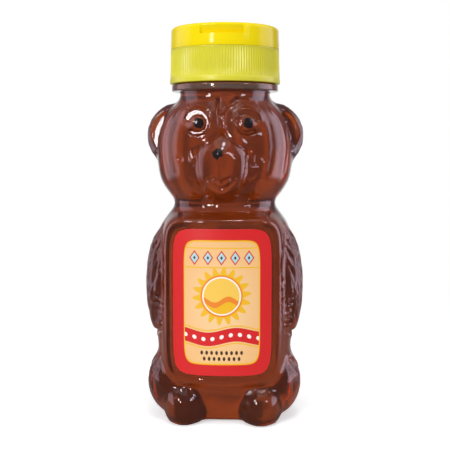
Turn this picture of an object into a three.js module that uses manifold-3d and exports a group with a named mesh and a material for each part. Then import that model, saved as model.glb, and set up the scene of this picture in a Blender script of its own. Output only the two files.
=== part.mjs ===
import * as THREE from 'three';
import { mergeVertices } from 'three/addons/utils/BufferGeometryUtils.js';
import Module from 'manifold-3d';

const wasm = await Module();
wasm.setup();

// Driving dimensions in millimetres. +Z is up, the bear faces -Y, and the neck stands on the Z axis.

// Bottle
const BODY_WIDTH = 51.2; // of the torso without its arms
const BODY_DEPTH = 49.8; // of the torso
const THROAT_HEIGHT = 80.6; // from the base to the crease under the chin
const HEAD_HEIGHT = 38.6; // from that crease to the root of the neck
const WALL = 0.9;

// Rings of the torso. Each gives its share of the throat height, of half the body's width, and of the body's
// depth to the front and to the back. The power is that of its rounded outline, where 2 is an ellipse.
const TORSO_RINGS = [
  { up: 0, side: 0.723, front: 0.311, back: 0.422, power: 2.5 },
  { up: 0.02, side: 0.812, front: 0.349, back: 0.47, power: 2.6 },
  { up: 0.075, side: 0.891, front: 0.394, back: 0.506, power: 2.7 },
  { up: 0.2, side: 0.961, front: 0.442, back: 0.534, power: 2.9 },
  { up: 0.335, side: 0.988, front: 0.454, back: 0.542, power: 3 },
  { up: 0.56, side: 1, front: 0.458, back: 0.538, power: 3 },
  { up: 0.745, side: 0.992, front: 0.458, back: 0.518, power: 3 },
  { up: 0.845, side: 0.977, front: 0.454, back: 0.486, power: 2.8 },
  { up: 0.905, side: 0.934, front: 0.44, back: 0.45, power: 2.6 },
  { up: 0.955, side: 0.824, front: 0.386, back: 0.398, power: 2.3 },
  { up: 1, side: 0.73, front: 0.333, back: 0.357, power: 2.1 },
];

// Rings of the head in the same way, with their share of the head height. The neck closes the list.
const HEAD_RINGS = [
  { up: 0.1, side: 0.836, front: 0.378, back: 0.41, power: 2.1 },
  { up: 0.22, side: 0.945, front: 0.422, back: 0.462, power: 2.2 },
  { up: 0.375, side: 0.992, front: 0.442, back: 0.49, power: 2.2 },
  { up: 0.58, side: 1.004, front: 0.442, back: 0.494, power: 2.2 },
  { up: 0.76, side: 0.949, front: 0.422, back: 0.466, power: 2.2 },
  { up: 0.89, side: 0.844, front: 0.39, back: 0.41, power: 2.1 },
];

// Rounded forms that stand out of the torso, placed by their share of half the body's width and of its depth.
// A radius list runs across, along the depth and up.
const ARM = { out: 0.922, forward: 0.09, height: 50, radii: [6.3, 10, 21] };
const HAUNCH = { out: 0.688, forward: 0.1, height: 13.5, radii: [11.1, 15, 13.5] };
const FOOT = { out: 0.547, forward: 0.291, height: 6, radii: [8, 10.5, 10.6] };

// Forms on the head in the same way, with their rise above the throat
const EAR = { out: 0.723, forward: -0.02, rise: 25.4, radii: [10.6, 4.6, 10.8] };
const EYE = { out: 0.344, forward: 0.382, rise: 29.4, radii: [3.1, 2.8, 3.3] };
const MUZZLE = { out: 0, forward: 0.361, rise: 14.7, radii: [9.4, 10, 11.8] };
const NOSE = { out: 0, forward: MUZZLE.forward, ahead: 8.7, rise: 18.6, radii: [3.2, 1.6, 2.2] };

// Painted dots on the eyes and the nose
const PUPIL_RADIUS = 1.7;
const PUPIL_SHIFT = 0.6; // both pupils are printed this far towards +X
const NOSE_DOT_RADIUS = 1.7;
const NOSE_DOT_SHIFT = -1.2;
const PAINT_GAP = 0.15;
const PAINT_THICKNESS = 0.25;

// Label, and the panel that carries it. The panel is a raised pad with a bowed face and a shallow recess.
const LABEL_WIDTH = 35.6;
const LABEL_HEIGHT = 53.3;
const LABEL_CENTRE_HEIGHT = 45.75;
const LABEL_POWER = 5; // of the rounded outline
const LABEL_THICKNESS = 0.25;
const LABEL_GAP = 0.15;
const PANEL_MARGIN = 2.1; // from the label's edge to the edge of the recess
const PANEL_RIM = 1.3;
const PANEL_RECESS = 0.6;
const PANEL_FORWARD = 0.478; // share of the body's depth from the neck's axis to the pad's face
const PANEL_BOW_RADIUS = 44;
const PANEL_DEPTH = 10; // how far the pad runs back into the torso
const PANEL_FLARE = 1.6; // how much wider the pad is at its root

// Neck finish
const NECK_RADIUS = 17.2;
const NECK_COLUMN = 3;
const RING_RADIUS = 20.05;
const RING_THICKNESS = 2.4;
const RING_EDGE = 0.5;
const FINISH_HEIGHT = 10.2;
const FINISH_RADIUS = 17.4;
const BORE_RADIUS = 15.9;
const THREAD_DEPTH = 1.25;
const THREAD_PITCH = 4.233;
const THREAD_TURNS = 1.3;
const THREAD_RISE = 2.6; // from the transfer ring to the start of the thread's middle line
const THREAD_ROOT_HALF = 1.05;
const THREAD_CREST_HALF = 0.45;
const THREAD_FADE = 0.06; // turns over which a thread's end runs out
const THREAD_END_SHARE = 0.2; // of the depth that is left at the very end

// Honey
const HONEY_GAP = 0.3;
const FILL_ABOVE_RING = 1.4;

// Cap
const CAP_RADIUS = 20.3; // at the seam between the skirt and the lid
const SKIRT_GAP = 0.4; // over the transfer ring
const SKIRT_FLARE = 0.45; // how much wider the skirt is at its bead
const SKIRT_BEAD = 2;
const SKIRT_EDGE = 0.4;
const RIB_COUNT = 120;
const RIB_DEPTH = 0.3;
const THREAD_CLEARANCE = 0.35; // between the neck's crest and the cap's wall
const FLANK_CLEARANCE = 0.1;
const CAP_THREAD_TURNS = 1;
const CAP_THREAD_DEPTH = 1.15;
const LINER_THICKNESS = 1;
const LINER_MARGIN = 0.4; // from the liner's edge to the crest of the cap's thread
const SEAL_GAP = 0.1;
const DECK_THICKNESS = 1.4;
const RIM_STEP = 0.2; // the rim that the lid closes on stands this far over the deck
const CATCH_HEIGHT = 2; // of the ring that the lid snaps over
const CATCH_WALL = 1.1;
const SPOUT_RADIUS = 5.2;
const SPOUT_TIP_RADIUS = 4.4;
const SPOUT_HEIGHT = 4.6;
const ORIFICE_RADIUS = 3.4;

// Lid
const LID_SEAM = 0.3;
const LID_HEIGHT = 8.1;
const LID_OVERHANG = 0.05; // of the lid over the seam
const LID_DRAFT = 0.15;
const LID_EDGE = 1.5;
const LID_CROWN = 0.3;
const LID_WALL = 1.35;
const LID_TOP = 1.5;
const CATCH_CLEARANCE = 0.3;
const PLUG_CLEARANCE = 0.5;
const PLUG_TAPER = 0.4;
const PLUG_DEPTH = 2.6; // how far the plug reaches into the spout
const THUMB_WIDTH = 16.1;
const THUMB_DEPTH = 1.3;
const THUMB_LEDGE = 4; // from the lid's lower edge to the ledge of the recess
const THUMB_HEIGHT = 3.2;

// Living hinge
const HINGE_PAD_WIDTH = 12;
const HINGE_PAD_HEIGHT = 3;
const HINGE_PAD_PROUD = 0.05; // beyond the widest part of the skirt
const HINGE_PAD_DEPTH = 1.5;
const STRAP_WIDTH = 10;
const STRAP_OVERLAP = 2.6; // of the strap on each pad
const STRAP_THICKNESS = 0.4;
const STRAP_GAP = 0.2;
const STRAP_WAIST = 0.12; // how much thinner the strap is on the fold, from each face

// Fineness of the round forms
const OUTER_DETAIL = { around: 28, between: 2, blobAround: 16, blobUp: 10 };
const INNER_DETAIL = { around: 20, between: 1, blobAround: 12, blobUp: 6 };
const SMALL_DETAIL = { blobAround: 12, blobUp: 6 };
const ROUND_STEPS = 40;
const BOW_STEPS = 120;
const OUTLINE_STEPS = 48;
const THREAD_STEPS = 24; // in one turn
const EDGE_STEPS = 4;
const SINK = 0.4; // how deep a piece is rooted in what it is joined to
const FAR = 60; // reach of a cutting block
const MERGE_DISTANCE = 0.00001; // points nearer than this are one point

// Heights and radii that follow
const shoulderHeight = THROAT_HEIGHT + HEAD_HEIGHT;
const ringBottom = shoulderHeight + NECK_COLUMN;
const ringTop = ringBottom + RING_THICKNESS;
const landHeight = ringTop + FINISH_HEIGHT;
const fillHeight = ringTop + FILL_ABOVE_RING;
const linerBottom = landHeight + SEAL_GAP;
const deckBottom = linerBottom + LINER_THICKNESS + SEAL_GAP;
const deckTop = deckBottom + DECK_THICKNESS;
const rimHeight = deckTop + RIM_STEP;
const lidBottom = rimHeight + LID_SEAM;
const lidTop = lidBottom + LID_HEIGHT;
const skirtBottom = ringTop + SKIRT_GAP;
const skirtRadius = CAP_RADIUS + SKIRT_FLARE;
const lidRadius = CAP_RADIUS + LID_OVERHANG;
const threadCrest = FINISH_RADIUS + THREAD_DEPTH;
const capBore = threadCrest + THREAD_CLEARANCE;
const lidBore = lidRadius - LID_WALL;
const catchRadius = lidBore - CATCH_CLEARANCE;
const catchTop = deckTop + CATCH_HEIGHT;
const spoutTop = deckTop + SPOUT_HEIGHT;
const hingeFace = skirtRadius + HINGE_PAD_PROUD;
const panelFront = BODY_DEPTH * PANEL_FORWARD;
const panelAxis = PANEL_BOW_RADIUS - panelFront;
const recessBow = PANEL_BOW_RADIUS - PANEL_RECESS;
const threadStart = ringTop + THREAD_RISE;

// Joins and cuts

function solidFrom(geometry) {
  const bare = new THREE.BufferGeometry();
  bare.setAttribute('position', geometry.getAttribute('position'));
  bare.setIndex(geometry.getIndex());
  const merged = mergeVertices(bare, MERGE_DISTANCE);
  const vertProperties = new Float32Array(merged.getAttribute('position').array);
  const triVerts = new Uint32Array(merged.getIndex().array);
  return new wasm.Manifold(new wasm.Mesh({ numProp: 3, vertProperties, triVerts }));
}

function geometryFrom(solid) {
  const mesh = solid.getMesh();
  const geometry = new THREE.BufferGeometry();
  geometry.setAttribute('position', new THREE.BufferAttribute(new Float32Array(mesh.vertProperties), 3));
  geometry.setIndex(new THREE.BufferAttribute(new Uint32Array(mesh.triVerts), 1));
  return geometry;
}

// A solid turned about the Z axis, from a profile of [radius, height] points
function turned(profile, steps = ROUND_STEPS) {
  const points = profile.map(([radius, height]) => new THREE.Vector2(radius, height));
  const lathe = new THREE.LatheGeometry(points, steps);
  lathe.rotateX(Math.PI / 2);
  return solidFrom(lathe);
}

function closedLoop(profile) {
  return [...profile, profile[0]];
}

function cylinder(radius, bottom, top, steps = ROUND_STEPS) {
  return turned([[0, bottom], [radius, bottom], [radius, top], [0, top]], steps);
}

function block(low, high) {
  const size = high.map((value, axis) => value - low[axis]);
  const box = new THREE.BoxGeometry(...size);
  box.translate(...low.map((value, axis) => value + size[axis] / 2));
  return solidFrom(box);
}

// An ellipsoid from its radii, with its poles up and down
function ellipsoid(radii, centre, detail) {
  const ball = new THREE.SphereGeometry(1, detail.blobAround, detail.blobUp);
  ball.rotateX(Math.PI / 2);
  ball.scale(...radii);
  ball.translate(...centre);
  return solidFrom(ball);
}

// A closed skin over a stack of rings, each a list of [x, y, z] points
function skin(rings) {
  const around = rings[0].length;
  const mean = (ring, axis) => ring.reduce((sum, point) => sum + point[axis], 0) / around;
  const middle = (ring) => [0, 1, 2].map((axis) => mean(ring, axis));
  const points = [...rings.flat(), middle(rings[0]), middle(rings.at(-1))];
  const lowMiddle = points.length - 2;
  const highMiddle = points.length - 1;
  const lastRing = (rings.length - 1) * around;
  const faces = [];
  for (let step = 0; step < around; step += 1) {
    const next = (step + 1) % around;
    for (let row = 0; row < lastRing; row += around) {
      faces.push(row + step, row + next, row + around + next);
      faces.push(row + step, row + around + next, row + around + step);
    }
    faces.push(lowMiddle, next, step);
    faces.push(highMiddle, lastRing + step, lastRing + next);
  }
  const geometry = new THREE.BufferGeometry();
  geometry.setAttribute('position', new THREE.Float32BufferAttribute(points.flat(), 3));
  geometry.setIndex(faces);
  return solidFrom(geometry);
}

// One coordinate of a rounded outline: the share of the half-width at a turn's cosine or sine
function rounded(wave, power) {
  return Math.sign(wave) * Math.abs(wave) ** (2 / power);
}

// The bear's form

// A value between rings a and b, on a smooth curve that also heeds the rings before and after them
function smoothBetween(before, a, b, after, share, key) {
  const slopeA = (b[key] - before[key]) / (b.height - before.height);
  const slopeB = (after[key] - a[key]) / (after.height - a.height);
  const span = b.height - a.height;
  const square = share * share;
  const cube = square * share;
  const near = (2 * cube - 3 * square + 1) * a[key] + (cube - 2 * square + share) * span * slopeA;
  const far = (3 * square - 2 * cube) * b[key] + (cube - square) * span * slopeB;
  return near + far;
}

function bodyRings(inset) {
  const sized = (ring, height) => ({
    side: (ring.side * BODY_WIDTH) / 2,
    front: ring.front * BODY_DEPTH,
    back: ring.back * BODY_DEPTH,
    power: ring.power,
    height,
  });
  const torso = TORSO_RINGS.map((ring) => sized(ring, inset + ring.up * (THROAT_HEIGHT - inset)));
  const head = HEAD_RINGS.map((ring) => sized(ring, THROAT_HEIGHT + ring.up * (HEAD_HEIGHT - inset)));
  const top = { side: NECK_RADIUS, front: NECK_RADIUS, back: NECK_RADIUS, power: 2 };
  const root = { ...top, height: shoulderHeight - inset };
  const column = inset > 0 ? [] : [{ ...top, height: ringBottom + SINK }];
  return [...torso, ...head, root, ...column];
}

function trunk(inset, detail) {
  const rings = bodyRings(inset);
  const at = (index) => rings[Math.min(Math.max(index, 0), rings.length - 1)];
  const outlines = [];
  const addOutline = ({ side, front, back, power, height }) => {
    const outline = [];
    for (let step = 0; step < detail.around; step += 1) {
      const turn = (2 * Math.PI * step) / detail.around;
      const reach = Math.sin(turn) < 0 ? front : back;
      const x = (side - inset) * rounded(Math.cos(turn), power);
      const y = (reach - inset) * rounded(Math.sin(turn), power);
      outline.push([x, y, height]);
    }
    outlines.push(outline);
  };
  for (let index = 0; index < rings.length - 1; index += 1) {
    for (let part = 0; part < detail.between; part += 1) {
      const share = part / detail.between;
      const ring = { height: at(index).height + share * (at(index + 1).height - at(index).height) };
      for (const key of ['side', 'front', 'back', 'power']) {
        ring[key] = smoothBetween(at(index - 1), at(index), at(index + 1), at(index + 2), share, key);
      }
      addOutline(ring);
    }
  }
  addOutline(rings.at(-1));
  return skin(outlines);
}

// A rounded outline in the XZ plane, swept from one depth to another and widened on the way
function panelPrism(halfWidth, halfHeight, frontY, backY, flare = 0) {
  const ringAt = (y, extra) => {
    const outline = [];
    for (let step = 0; step < OUTLINE_STEPS; step += 1) {
      const turn = (2 * Math.PI * step) / OUTLINE_STEPS;
      const x = (halfWidth + extra) * rounded(Math.cos(turn), LABEL_POWER);
      const z = (halfHeight + extra) * rounded(Math.sin(turn), LABEL_POWER);
      outline.push([x, y, LABEL_CENTRE_HEIGHT + z]);
    }
    return outline;
  };
  return skin([ringAt(backY, flare), ringAt(frontY, 0)]);
}

function bowedDrum(radius) {
  return cylinder(radius, -FAR, shoulderHeight + FAR, BOW_STEPS).translate([0, panelAxis, 0]);
}

function panelPad(inset) {
  const halfWidth = LABEL_WIDTH / 2 + PANEL_MARGIN + PANEL_RIM - inset;
  const halfHeight = LABEL_HEIGHT / 2 + PANEL_MARGIN + PANEL_RIM - inset;
  const bow = inset > 0 ? recessBow - inset : PANEL_BOW_RADIUS;
  const rootY = PANEL_DEPTH - panelFront;
  const prism = panelPrism(halfWidth, halfHeight, -panelFront - SINK, rootY, PANEL_FLARE);
  return prism.intersect(bowedDrum(bow));
}

function panelRecess() {
  const halfWidth = LABEL_WIDTH / 2 + PANEL_MARGIN;
  const halfHeight = LABEL_HEIGHT / 2 + PANEL_MARGIN;
  return panelPrism(halfWidth, halfHeight, -FAR, PANEL_DEPTH - panelFront).subtract(bowedDrum(recessBow));
}

// The middle of a rounded form, on the side of the bear that the sign gives. A form on another one, such as
// the nose on the muzzle, stands a fixed length ahead of it.
function centreOf(form, side) {
  const height = form.height ?? THROAT_HEIGHT + form.rise;
  const forward = form.forward * BODY_DEPTH + (form.ahead ?? 0);
  return [(side * form.out * BODY_WIDTH) / 2, -forward, height];
}

// The whole bear below the neck, with every surface drawn in by the inset. The eyes and the nose are only
// on the outside, because they are too small to be hollow.
function bear(inset, detail) {
  const shrunk = (radii) => radii.map((radius) => radius - inset);
  const pieces = [ellipsoid(shrunk(MUZZLE.radii), centreOf(MUZZLE, 1), detail)];
  for (const side of [-1, 1]) {
    for (const limb of [ARM, HAUNCH, FOOT, EAR]) {
      pieces.push(ellipsoid(shrunk(limb.radii), centreOf(limb, side), detail));
    }
    if (inset === 0) {
      pieces.push(ellipsoid(EYE.radii, centreOf(EYE, side), SMALL_DETAIL));
    }
  }
  if (inset === 0) {
    pieces.push(ellipsoid(NOSE.radii, centreOf(NOSE, 1), SMALL_DETAIL));
  }
  const whole = pieces.reduce((form, piece) => form.add(piece), trunk(inset, detail).add(panelPad(inset)));
  return whole.subtract(block([-FAR, -FAR, -FAR], [FAR, FAR, inset]));
}

// Threads

// A helical ridge on a round wall. It stands out of the wall where the crest is the larger radius, and into
// the bore where it is the smaller one.
function threadRidge(rootRadius, crestRadius, startHeight, startTurn, turns) {
  const steps = Math.round(turns * THREAD_STEPS);
  const outward = Math.sign(crestRadius - rootRadius);
  const points = [];
  let corners = 0;
  for (let step = 0; step <= steps; step += 1) {
    const along = (turns * step) / steps;
    const angle = 2 * Math.PI * (startTurn + along);
    const fade = Math.min(1, THREAD_END_SHARE + Math.min(along, turns - along) / THREAD_FADE);
    const height = startHeight + THREAD_PITCH * along;
    const base = rootRadius - outward * SINK;
    const crest = rootRadius + fade * (crestRadius - rootRadius);
    const section = [
      [base, -THREAD_ROOT_HALF],
      [crest, -THREAD_CREST_HALF],
      [crest, THREAD_CREST_HALF],
      [base, THREAD_ROOT_HALF],
    ];
    for (const [radius, offset] of section) {
      points.push(radius * Math.cos(angle), radius * Math.sin(angle), height + offset);
    }
    corners = section.length;
  }
  const faces = [];
  const addFace = (a, b, c) => faces.push(...(outward > 0 ? [a, b, c] : [a, c, b]));
  for (let step = 0; step < steps; step += 1) {
    for (let corner = 0; corner < corners; corner += 1) {
      const here = corners * step + corner;
      const beside = corners * step + ((corner + 1) % corners);
      addFace(here, here + corners, beside + corners);
      addFace(here, beside + corners, beside);
    }
  }
  const last = corners * steps;
  addFace(0, 1, 2);
  addFace(0, 2, 3);
  addFace(last, last + 2, last + 1);
  addFace(last, last + 3, last + 2);
  const geometry = new THREE.BufferGeometry();
  geometry.setAttribute('position', new THREE.Float32BufferAttribute(points, 3));
  geometry.setIndex(faces);
  return solidFrom(geometry);
}

// Bottle

function neckFinish() {
  return turned([
    [0, ringBottom],
    [RING_RADIUS - RING_EDGE, ringBottom],
    [RING_RADIUS, ringBottom + RING_EDGE],
    [RING_RADIUS, ringTop - RING_EDGE],
    [RING_RADIUS - RING_EDGE, ringTop],
    [FINISH_RADIUS, ringTop],
    [FINISH_RADIUS, landHeight],
    [0, landHeight],
  ]);
}

function makeBottle() {
  const thread = threadRidge(FINISH_RADIUS, threadCrest, threadStart, 0, THREAD_TURNS);
  const outside = bear(0, OUTER_DETAIL).subtract(panelRecess()).add(neckFinish()).add(thread);
  const bore = cylinder(BORE_RADIUS, shoulderHeight - NECK_COLUMN, landHeight + FAR);
  return outside.subtract(bear(WALL, INNER_DETAIL).add(bore));
}

function makeHoney() {
  const column = cylinder(BORE_RADIUS - HONEY_GAP, shoulderHeight - NECK_COLUMN, fillHeight);
  return bear(WALL + HONEY_GAP, INNER_DETAIL).add(column);
}

function makeLabel() {
  const prism = panelPrism(LABEL_WIDTH / 2, LABEL_HEIGHT / 2, -FAR, PANEL_DEPTH - panelFront);
  const back = recessBow + LABEL_GAP;
  return prism.intersect(bowedDrum(back + LABEL_THICKNESS)).subtract(bowedDrum(back));
}

// A painted dot that follows the ellipsoid it lies on
function paintedDot(form, centre, radius, shift) {
  const grown = (extra) => ellipsoid(form.radii.map((value) => value + extra), centre, SMALL_DETAIL);
  const film = grown(PAINT_GAP + PAINT_THICKNESS).subtract(grown(PAINT_GAP));
  const stamp = cylinder(radius, 0, FAR, SMALL_DETAIL.blobAround).rotate([90, 0, 0]);
  return film.intersect(stamp.translate([centre[0] + shift, centre[1], centre[2]]));
}

// Cap

// A ring with fine upright ribs, drawn in towards its top as the skirt is
function ribbedBand(bottom, top, bottomRadius, topRadius) {
  const ringAt = (radius, height) => {
    const outline = [];
    for (let step = 0; step < 2 * RIB_COUNT; step += 1) {
      const angle = (Math.PI * step) / RIB_COUNT;
      const reach = step % 2 === 0 ? radius : radius - RIB_DEPTH;
      outline.push([reach * Math.cos(angle), reach * Math.sin(angle), height]);
    }
    return outline;
  };
  const band = skin([ringAt(bottomRadius, bottom), ringAt(topRadius, top)]);
  return band.subtract(cylinder(capBore + SINK / 2, bottom - FAR, top + FAR));
}

function hingePad(bottom, top) {
  const half = HINGE_PAD_WIDTH / 2;
  return block([-half, hingeFace - HINGE_PAD_DEPTH, bottom], [half, hingeFace, top]);
}

function makeClosureBase() {
  const beadTop = skirtBottom + SKIRT_BEAD;
  const plainWall = CAP_RADIUS - RIB_DEPTH - SINK;
  const shell = turned(closedLoop([
    [capBore, skirtBottom],
    [skirtRadius - SKIRT_EDGE, skirtBottom],
    [skirtRadius, skirtBottom + SKIRT_EDGE],
    [skirtRadius, beadTop],
    [plainWall, beadTop],
    [plainWall, rimHeight],
    [catchRadius, rimHeight],
    [catchRadius, catchTop],
    [catchRadius - CATCH_WALL, catchTop],
    [catchRadius - CATCH_WALL, deckTop],
    [SPOUT_RADIUS, deckTop],
    [SPOUT_TIP_RADIUS, spoutTop],
    [ORIFICE_RADIUS, spoutTop],
    [ORIFICE_RADIUS, deckBottom],
    [capBore, deckBottom],
  ]));
  const ribs = ribbedBand(beadTop - SKIRT_EDGE, rimHeight, skirtRadius - SKIRT_EDGE / 2, CAP_RADIUS);
  // The cap's ridge lies under the neck's. Where one is as wide as its root, the other is down to its crest.
  const drop = THREAD_ROOT_HALF + THREAD_CREST_HALF + FLANK_CLEARANCE;
  const lag = THREAD_TURNS - CAP_THREAD_TURNS;
  const ridge = threadRidge(
    capBore,
    capBore - CAP_THREAD_DEPTH,
    threadStart + THREAD_PITCH * lag - drop,
    lag,
    CAP_THREAD_TURNS,
  );
  const pad = hingePad(rimHeight - HINGE_PAD_HEIGHT, rimHeight);
  return shell.add(ribs).add(ridge).add(pad);
}

function makeLiner() {
  return cylinder(capBore - LINER_MARGIN - CAP_THREAD_DEPTH, linerBottom, linerBottom + LINER_THICKNESS);
}

function makeLid() {
  const ceiling = lidTop - LID_TOP - LID_CROWN;
  const plugRadius = ORIFICE_RADIUS - PLUG_CLEARANCE;
  const plugTip = spoutTop - PLUG_DEPTH;
  const thinBore = catchRadius - CATCH_WALL;
  const stepHeight = catchTop + CATCH_CLEARANCE;
  const topRadius = lidRadius - LID_DRAFT;
  const edge = [];
  for (let step = 0; step <= EDGE_STEPS; step += 1) {
    const turn = (Math.PI / 2) * (step / EDGE_STEPS);
    const radius = topRadius - LID_EDGE + LID_EDGE * Math.cos(turn);
    edge.push([radius, lidTop - LID_CROWN - LID_EDGE + LID_EDGE * Math.sin(turn)]);
  }
  const cover = turned([
    [0, plugTip],
    [plugRadius - PLUG_TAPER, plugTip],
    [plugRadius, spoutTop],
    [plugRadius, ceiling],
    [thinBore, ceiling],
    [thinBore, stepHeight],
    [lidBore, stepHeight],
    [lidBore, lidBottom],
    [lidRadius, lidBottom],
    ...edge,
    [0, lidTop],
  ]);
  const ledge = lidBottom + THUMB_LEDGE;
  const wedge = turned(closedLoop([
    [lidRadius - THUMB_DEPTH, ledge],
    [lidRadius + SINK, ledge],
    [lidRadius + SINK, ledge + THUMB_HEIGHT],
    [lidRadius, ledge + THUMB_HEIGHT],
  ]));
  const front = block([-THUMB_WIDTH / 2, -FAR, lidBottom], [THUMB_WIDTH / 2, 0, lidTop]);
  const pad = hingePad(lidBottom, lidBottom + HINGE_PAD_HEIGHT);
  return cover.subtract(wedge.intersect(front)).add(pad);
}

// The strap lies flat on both pads and is thinned along the line where it folds.
function makeHinge() {
  const inner = hingeFace + STRAP_GAP;
  const outer = inner + STRAP_THICKNESS;
  const fold = (rimHeight + lidBottom) / 2;
  const half = STRAP_OVERLAP + LID_SEAM / 2;
  const section = new THREE.Shape([
    new THREE.Vector2(inner, fold - half),
    new THREE.Vector2(outer, fold - half),
    new THREE.Vector2(outer, fold - STRAP_THICKNESS),
    new THREE.Vector2(outer - STRAP_WAIST, fold),
    new THREE.Vector2(outer, fold + STRAP_THICKNESS),
    new THREE.Vector2(outer, fold + half),
    new THREE.Vector2(inner, fold + half),
    new THREE.Vector2(inner, fold + STRAP_THICKNESS),
    new THREE.Vector2(inner + STRAP_WAIST, fold),
    new THREE.Vector2(inner, fold - STRAP_THICKNESS),
  ]);
  const strap = new THREE.ExtrudeGeometry(section, { depth: STRAP_WIDTH, bevelEnabled: false });
  strap.translate(0, 0, -STRAP_WIDTH / 2);
  strap.rotateY(Math.PI / 2);
  strap.rotateX(Math.PI / 2);
  return solidFrom(strap);
}

// Assembly

const clearPet = { color: '#e9e2d6', roughness: 0.08, metalness: 0, transparent: true, opacity: 0.4 };
const amber = { color: '#7a3a14', roughness: 0.2, metalness: 0 };
const skirtYellow = { color: '#dcd83c', roughness: 0.5, metalness: 0 };
const lidYellow = { color: '#f0dc00', roughness: 0.3, metalness: 0 };
const linerWhite = { color: '#f2f0ea', roughness: 0.8, metalness: 0 };
const labelRed = { color: '#d8282c', roughness: 0.4, metalness: 0 };
const paintBlack = { color: '#141010', roughness: 0.4, metalness: 0 };

const part = new THREE.Group();

function addPiece(name, solid, finish) {
  const mesh = new THREE.Mesh(geometryFrom(solid), new THREE.MeshStandardMaterial(finish));
  mesh.name = name;
  part.add(mesh);
}

addPiece('bottle', makeBottle(), clearPet);
addPiece('honey', makeHoney(), amber);
addPiece('front_label', makeLabel(), labelRed);
addPiece('left_pupil', paintedDot(EYE, centreOf(EYE, 1), PUPIL_RADIUS, PUPIL_SHIFT), paintBlack);
addPiece('right_pupil', paintedDot(EYE, centreOf(EYE, -1), PUPIL_RADIUS, PUPIL_SHIFT), paintBlack);
addPiece('nose_dot', paintedDot(NOSE, centreOf(NOSE, 1), NOSE_DOT_RADIUS, NOSE_DOT_SHIFT), paintBlack);
addPiece('seal_liner', makeLiner(), linerWhite);
addPiece('closure_base', makeClosureBase(), skirtYellow);
addPiece('living_hinge', makeHinge(), lidYellow);
addPiece('flip_lid', makeLid(), lidYellow);

export default part;
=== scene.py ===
# %% [markdown]
# # A bear-shaped bottle of honey
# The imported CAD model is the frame: it says how large each piece is, where it sits and which body it moves
# with. This lesson dresses that frame. Every piece is modelled at its real place, in metres, with the neck
# on the Z axis and the bear looking along -Y.

# %% Load the frame
import math
from functools import partialmethod

import bmesh
import bpy
import numpy as np
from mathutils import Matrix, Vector


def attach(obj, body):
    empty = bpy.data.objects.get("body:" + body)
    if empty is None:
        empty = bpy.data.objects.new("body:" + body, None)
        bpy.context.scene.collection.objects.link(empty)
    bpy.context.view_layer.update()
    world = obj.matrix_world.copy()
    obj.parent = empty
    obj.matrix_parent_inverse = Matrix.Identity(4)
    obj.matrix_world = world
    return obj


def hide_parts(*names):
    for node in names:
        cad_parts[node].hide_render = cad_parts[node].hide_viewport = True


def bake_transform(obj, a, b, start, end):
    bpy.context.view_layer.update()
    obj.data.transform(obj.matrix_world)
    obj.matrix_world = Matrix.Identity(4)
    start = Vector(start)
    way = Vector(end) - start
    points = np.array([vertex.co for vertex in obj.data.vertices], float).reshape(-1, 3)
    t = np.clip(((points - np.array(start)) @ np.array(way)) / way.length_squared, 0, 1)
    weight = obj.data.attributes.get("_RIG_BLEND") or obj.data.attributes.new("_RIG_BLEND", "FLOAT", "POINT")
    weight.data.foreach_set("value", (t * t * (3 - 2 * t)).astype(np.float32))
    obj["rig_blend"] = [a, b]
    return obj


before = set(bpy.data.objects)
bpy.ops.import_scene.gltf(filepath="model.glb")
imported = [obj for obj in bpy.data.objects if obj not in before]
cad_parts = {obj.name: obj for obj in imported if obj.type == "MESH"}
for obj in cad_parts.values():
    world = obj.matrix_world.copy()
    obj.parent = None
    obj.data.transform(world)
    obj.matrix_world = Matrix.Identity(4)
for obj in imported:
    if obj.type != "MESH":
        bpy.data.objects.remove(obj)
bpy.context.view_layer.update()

MM = 0.001

# %% [markdown]
# ## Helpers for working as by hand
# An operator acts on whatever is selected, so each step first says which object it works on. An object that
# an operator has just added is selected alone. Lengths are written in millimetres and turned into metres at
# the last moment.


# %% Selecting, editing and applying
def work_on(*objects):
    bpy.ops.object.select_all(action="DESELECT")
    for piece in objects:
        piece.select_set(True)
    bpy.context.view_layer.objects.active = objects[0]


def edit(piece):
    work_on(piece)
    bpy.ops.object.mode_set(mode="EDIT")


def edit_all(piece):
    edit(piece)
    bpy.ops.mesh.select_all(action="SELECT")


def leave_edit():
    bpy.ops.object.mode_set(mode="OBJECT")


def select_where(kind, test):
    """In edit mode, selects only the edges or the faces that pass the test."""
    mesh = bmesh.from_edit_mesh(bpy.context.object.data)
    bpy.ops.mesh.select_mode(type={"edges": "EDGE", "faces": "FACE"}[kind])
    bpy.ops.mesh.select_all(action="DESELECT")
    for element in getattr(mesh, kind):
        if test(element):
            element.select_set(True)
    mesh.select_flush_mode()
    bmesh.update_edit_mesh(bpy.context.object.data)


def finish_with(piece, kind, **settings):
    """Adds a modifier, sets it and applies it."""
    work_on(piece)
    modifier = piece.modifiers.new(kind.lower(), kind)
    for name, value in settings.items():
        setattr(modifier, name, value)
    bpy.ops.object.modifier_apply(modifier=modifier.name)


def face_outwards(piece):
    edit_all(piece)
    bpy.ops.mesh.normals_make_consistent(inside=False)
    leave_edit()


def shade_smooth(piece, degrees):
    work_on(piece)
    bpy.ops.object.shade_smooth_by_angle(angle=math.radians(degrees))


def just_added(name):
    """Names the object that was just added, and applies its place, turn and scale to its points."""
    bpy.ops.object.transform_apply()
    piece = bpy.context.object
    piece.name = name
    return piece


def join(name, *pieces):
    work_on(*pieces)
    bpy.ops.object.join()
    whole = bpy.context.object
    whole.name = name
    whole.data.name = name
    return whole


def report(piece):
    low, high = np.array(piece.bound_box).min(0), np.array(piece.bound_box).max(0)
    size = " x ".join(f"{value / MM:.1f}" for value in high - low)
    print(f"{piece.name}: {len(piece.data.polygons)} faces, {size} mm")


# %% Points of a mesh as numbers, in millimetres
def rows_of(elements, name):
    flat = np.zeros(3 * len(elements))
    elements.foreach_get(name, flat)
    return flat.reshape(-1, 3)


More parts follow.
